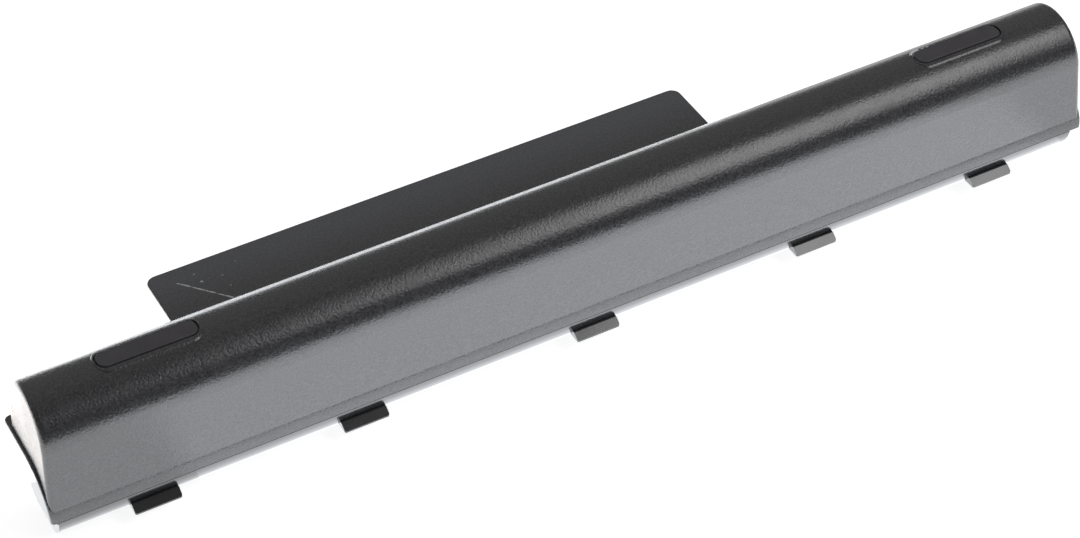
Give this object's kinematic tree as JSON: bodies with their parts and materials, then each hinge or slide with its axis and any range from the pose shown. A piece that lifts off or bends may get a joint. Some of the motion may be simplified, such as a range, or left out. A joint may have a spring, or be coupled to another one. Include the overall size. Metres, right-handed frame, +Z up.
{
  "type": "laptop battery",
  "caption": "Extended laptop battery: a long bar of round cells with a raised hump along it, a flat cover plate on one side, hooks along the front edge and rubber feet on the hump.",
  "frame": {"origin": "under the middle of the part's box, on the plane that the troughs rest on", "axes": "+X along the pack, towards its connector end; +Y from the hooked front edge to the cover plate's far edge; +Z up, out of the hump"},
  "size_m": [0.272, 0.0526, 0.04],
  "materials": {
    "shell": "fine spark-eroded grain, satin sheen",
    "foot_rubber": "matte",
    "cell_wrap": "shrink sleeve",
    "insulator_paper": "plain",
    "nickel_strip": "nickel-plated sheet",
    "lead_black": "extruded sleeve",
    "lead_red": "extruded sleeve",
    "lead_blue": "extruded sleeve",
    "foam": "closed-cell foam",
    "board": "solder mask",
    "chip_plastic": "moulded epoxy",
    "part_ceramic": "fired",
    "connector_plastic": "moulded",
    "contact_brass": "gold-flashed"
  },
  "bodies": {
    "root": {"bar_cell_1": "cell_wrap", "bar_cell_2": "cell_wrap", "bar_cell_3": "cell_wrap", "bar_cell_4": "cell_wrap", "bay_cell_1": "cell_wrap", "bay_cell_2": "cell_wrap", "charge_transistor": "chip_plastic", "chip_capacitors": "part_ceramic", "circuit_board": "board", "connector_contacts": "contact_brass", "connector_housing": "connector_plastic", "discharge_transistor": "chip_plastic", "foam_pad_bar_left": "foam", "foam_pad_bar_right": "foam", "foam_pad_bay_left": "foam", "foam_pad_bay_right": "foam", "foam_pad_hump_left": "foam", "gauge_chip": "chip_plastic", "hump_cell_1": "cell_wrap", "hump_cell_2": "cell_wrap", "hump_cell_3": "cell_wrap", "insulator_rings": "insulator_paper", "link_lead": "lead_blue", "lower_shell": "shell", "negative_lead": "lead_black", "positive_lead": "lead_red", "protector_chip": "chip_plastic", "rubber_foot_left": "foot_rubber", "rubber_foot_right": "foot_rubber", "sense_resistor": "chip_plastic", "strip_bar_end": "nickel_strip", "strip_bay_negative": "nickel_strip", "strip_bay_positive": "nickel_strip", "strip_bay_tap": "nickel_strip", "strip_high_tap": "nickel_strip", "strip_low_tap": "nickel_strip", "strip_negative": "nickel_strip", "strip_positive": "nickel_strip", "thermal_fuse": "part_ceramic", "thermistor": "chip_plastic", "upper_shell": "shell"}
  },
  "joints": []
}
